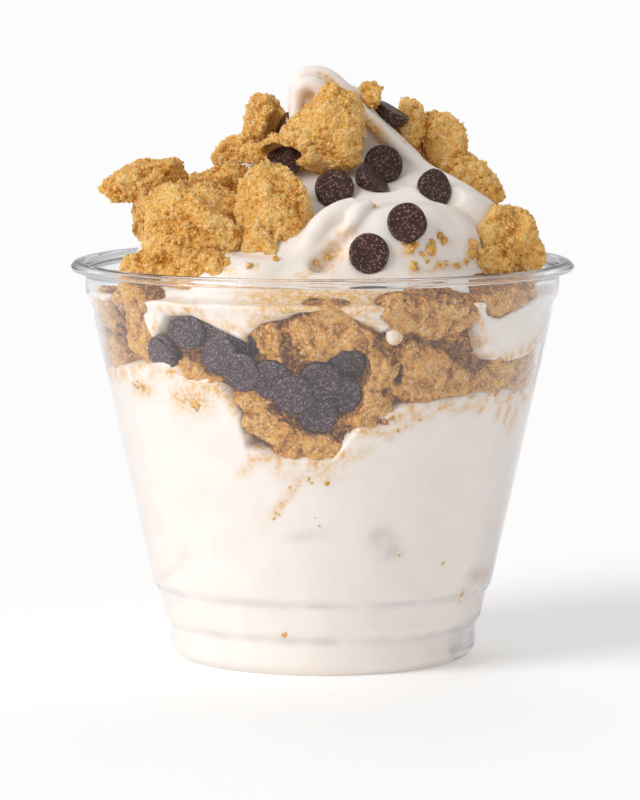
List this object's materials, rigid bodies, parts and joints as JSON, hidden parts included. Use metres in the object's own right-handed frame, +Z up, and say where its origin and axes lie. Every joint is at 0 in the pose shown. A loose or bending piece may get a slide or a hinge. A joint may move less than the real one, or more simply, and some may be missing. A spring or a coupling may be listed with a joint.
{
  "type": "sundae",
  "caption": "Soft-serve sundae in a clear squat dessert cup, layered and topped with cookie-dough lumps and chocolate chips.",
  "frame": {"origin": "centre of the cup's foot, on the plane it stands on", "axes": "+Z up through the peak of the swirl; the side with the most chocolate chips faces -Y"},
  "size_m": [0.098, 0.098, 0.1152],
  "materials": {
    "clear_plastic": "clear, glossy, thin-walled",
    "soft_serve": "smooth, slightly wet frozen cream",
    "cookie_dough": "rough, grainy, with sugar crystals",
    "chocolate": "semi-gloss with a faint bloom"
  },
  "bodies": {
    "root": {"cup": "clear_plastic", "soft_serve_lower": "soft_serve", "dough_layer": "cookie_dough", "chips_front": "chocolate", "chips_side": "chocolate", "chips_back": "chocolate", "soft_serve_upper": "soft_serve", "dough_left_front": "cookie_dough", "dough_left_low": "cookie_dough", "dough_front": "cookie_dough", "dough_far_left": "cookie_dough", "dough_peak_front": "cookie_dough", "dough_peak_left": "cookie_dough", "dough_left_small": "cookie_dough", "dough_left_sliver": "cookie_dough", "dough_peak_crumb": "cookie_dough", "dough_peak_right": "cookie_dough", "dough_right_high": "cookie_dough", "dough_right_slab": "cookie_dough", "dough_right_low": "cookie_dough", "dough_back_left": "cookie_dough", "dough_back": "cookie_dough", "dough_back_right": "cookie_dough", "chip_crease": "chocolate", "chip_leaning": "chocolate", "chip_high": "chocolate", "chip_right": "chocolate", "chip_middle": "chocolate", "chip_low": "chocolate", "chip_behind_ridge": "chocolate", "chip_peak_left": "chocolate", "chip_between": "chocolate", "chip_far_left": "chocolate", "chip_back_high": "chocolate", "chip_back_low": "chocolate"}
  },
  "joints": []
}
